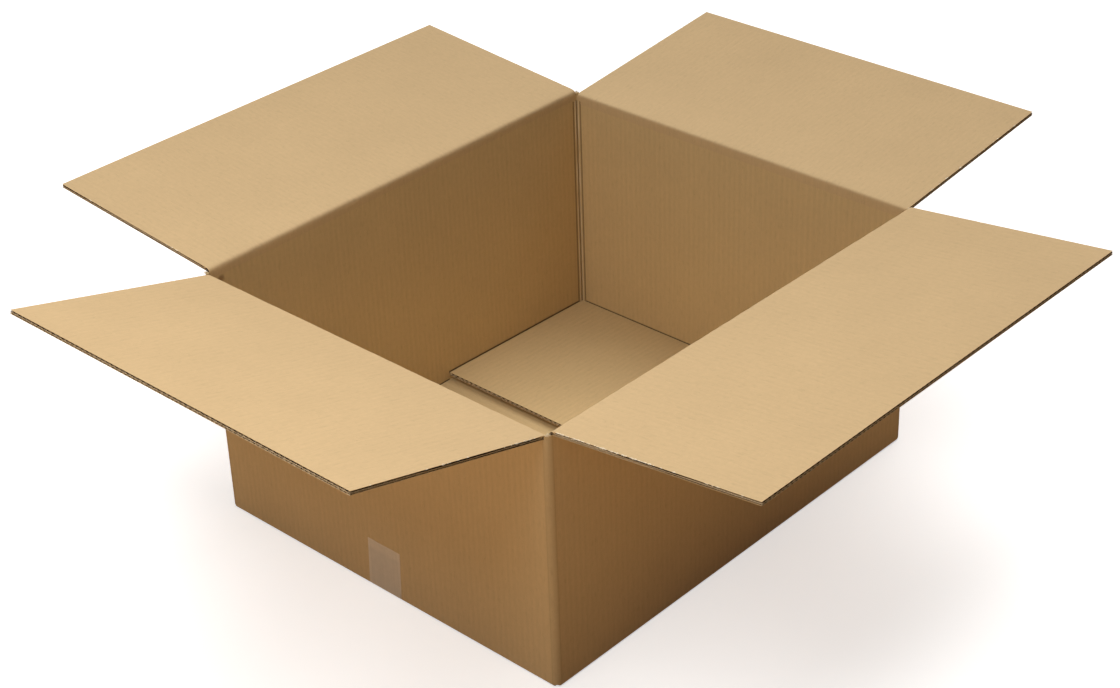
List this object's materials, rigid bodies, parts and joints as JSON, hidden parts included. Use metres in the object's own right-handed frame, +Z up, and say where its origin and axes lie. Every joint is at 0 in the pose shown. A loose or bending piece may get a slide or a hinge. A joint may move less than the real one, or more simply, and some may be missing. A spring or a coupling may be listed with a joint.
{
  "type": "cardboard box",
  "caption": "Open shipping carton of double-wall corrugated board with four hinged top flaps and a taped folded bottom.",
  "frame": {"origin": "middle of the flat underside, between the four outside walls", "axes": "+X along the long side walls, +Y from the front long wall to the back one, +Z up"},
  "size_m": [1.119, 1.0286, 0.3781],
  "materials": {
    "kraft_board": "matt unbleached kraft paper",
    "packing_tape": "thin clear film, slightly milky over the board"
  },
  "bodies": {
    "carton": {"carton_body": "kraft_board", "bottom_tape": "packing_tape"},
    "front": {"flap_front": "kraft_board"},
    "back": {"flap_back": "kraft_board"},
    "left": {"flap_left": "kraft_board"},
    "right": {"flap_right": "kraft_board"}
  },
  "joints": [
    {"name": "front_flap_fold", "type": "hinge", "parent": "carton", "child": "front", "pos_m": [0, -0.258, 0.3113], "axis": [-1, 0, 0], "range_deg": [-95, 173]},
    {"name": "back_flap_fold", "type": "hinge", "parent": "carton", "child": "back", "pos_m": [0, 0.258, 0.3113], "axis": [1, 0, 0], "range_deg": [-92.8, 175.2]},
    {"name": "left_flap_fold", "type": "hinge", "parent": "carton", "child": "left", "pos_m": [-0.307, 0, 0.3064], "axis": [0, 1, 0], "range_deg": [-103.15, 164.85]},
    {"name": "right_flap_fold", "type": "hinge", "parent": "carton", "child": "right", "pos_m": [0.307, 0, 0.3064], "axis": [0, -1, 0], "range_deg": [-93.9, 174.1]}
  ]
}
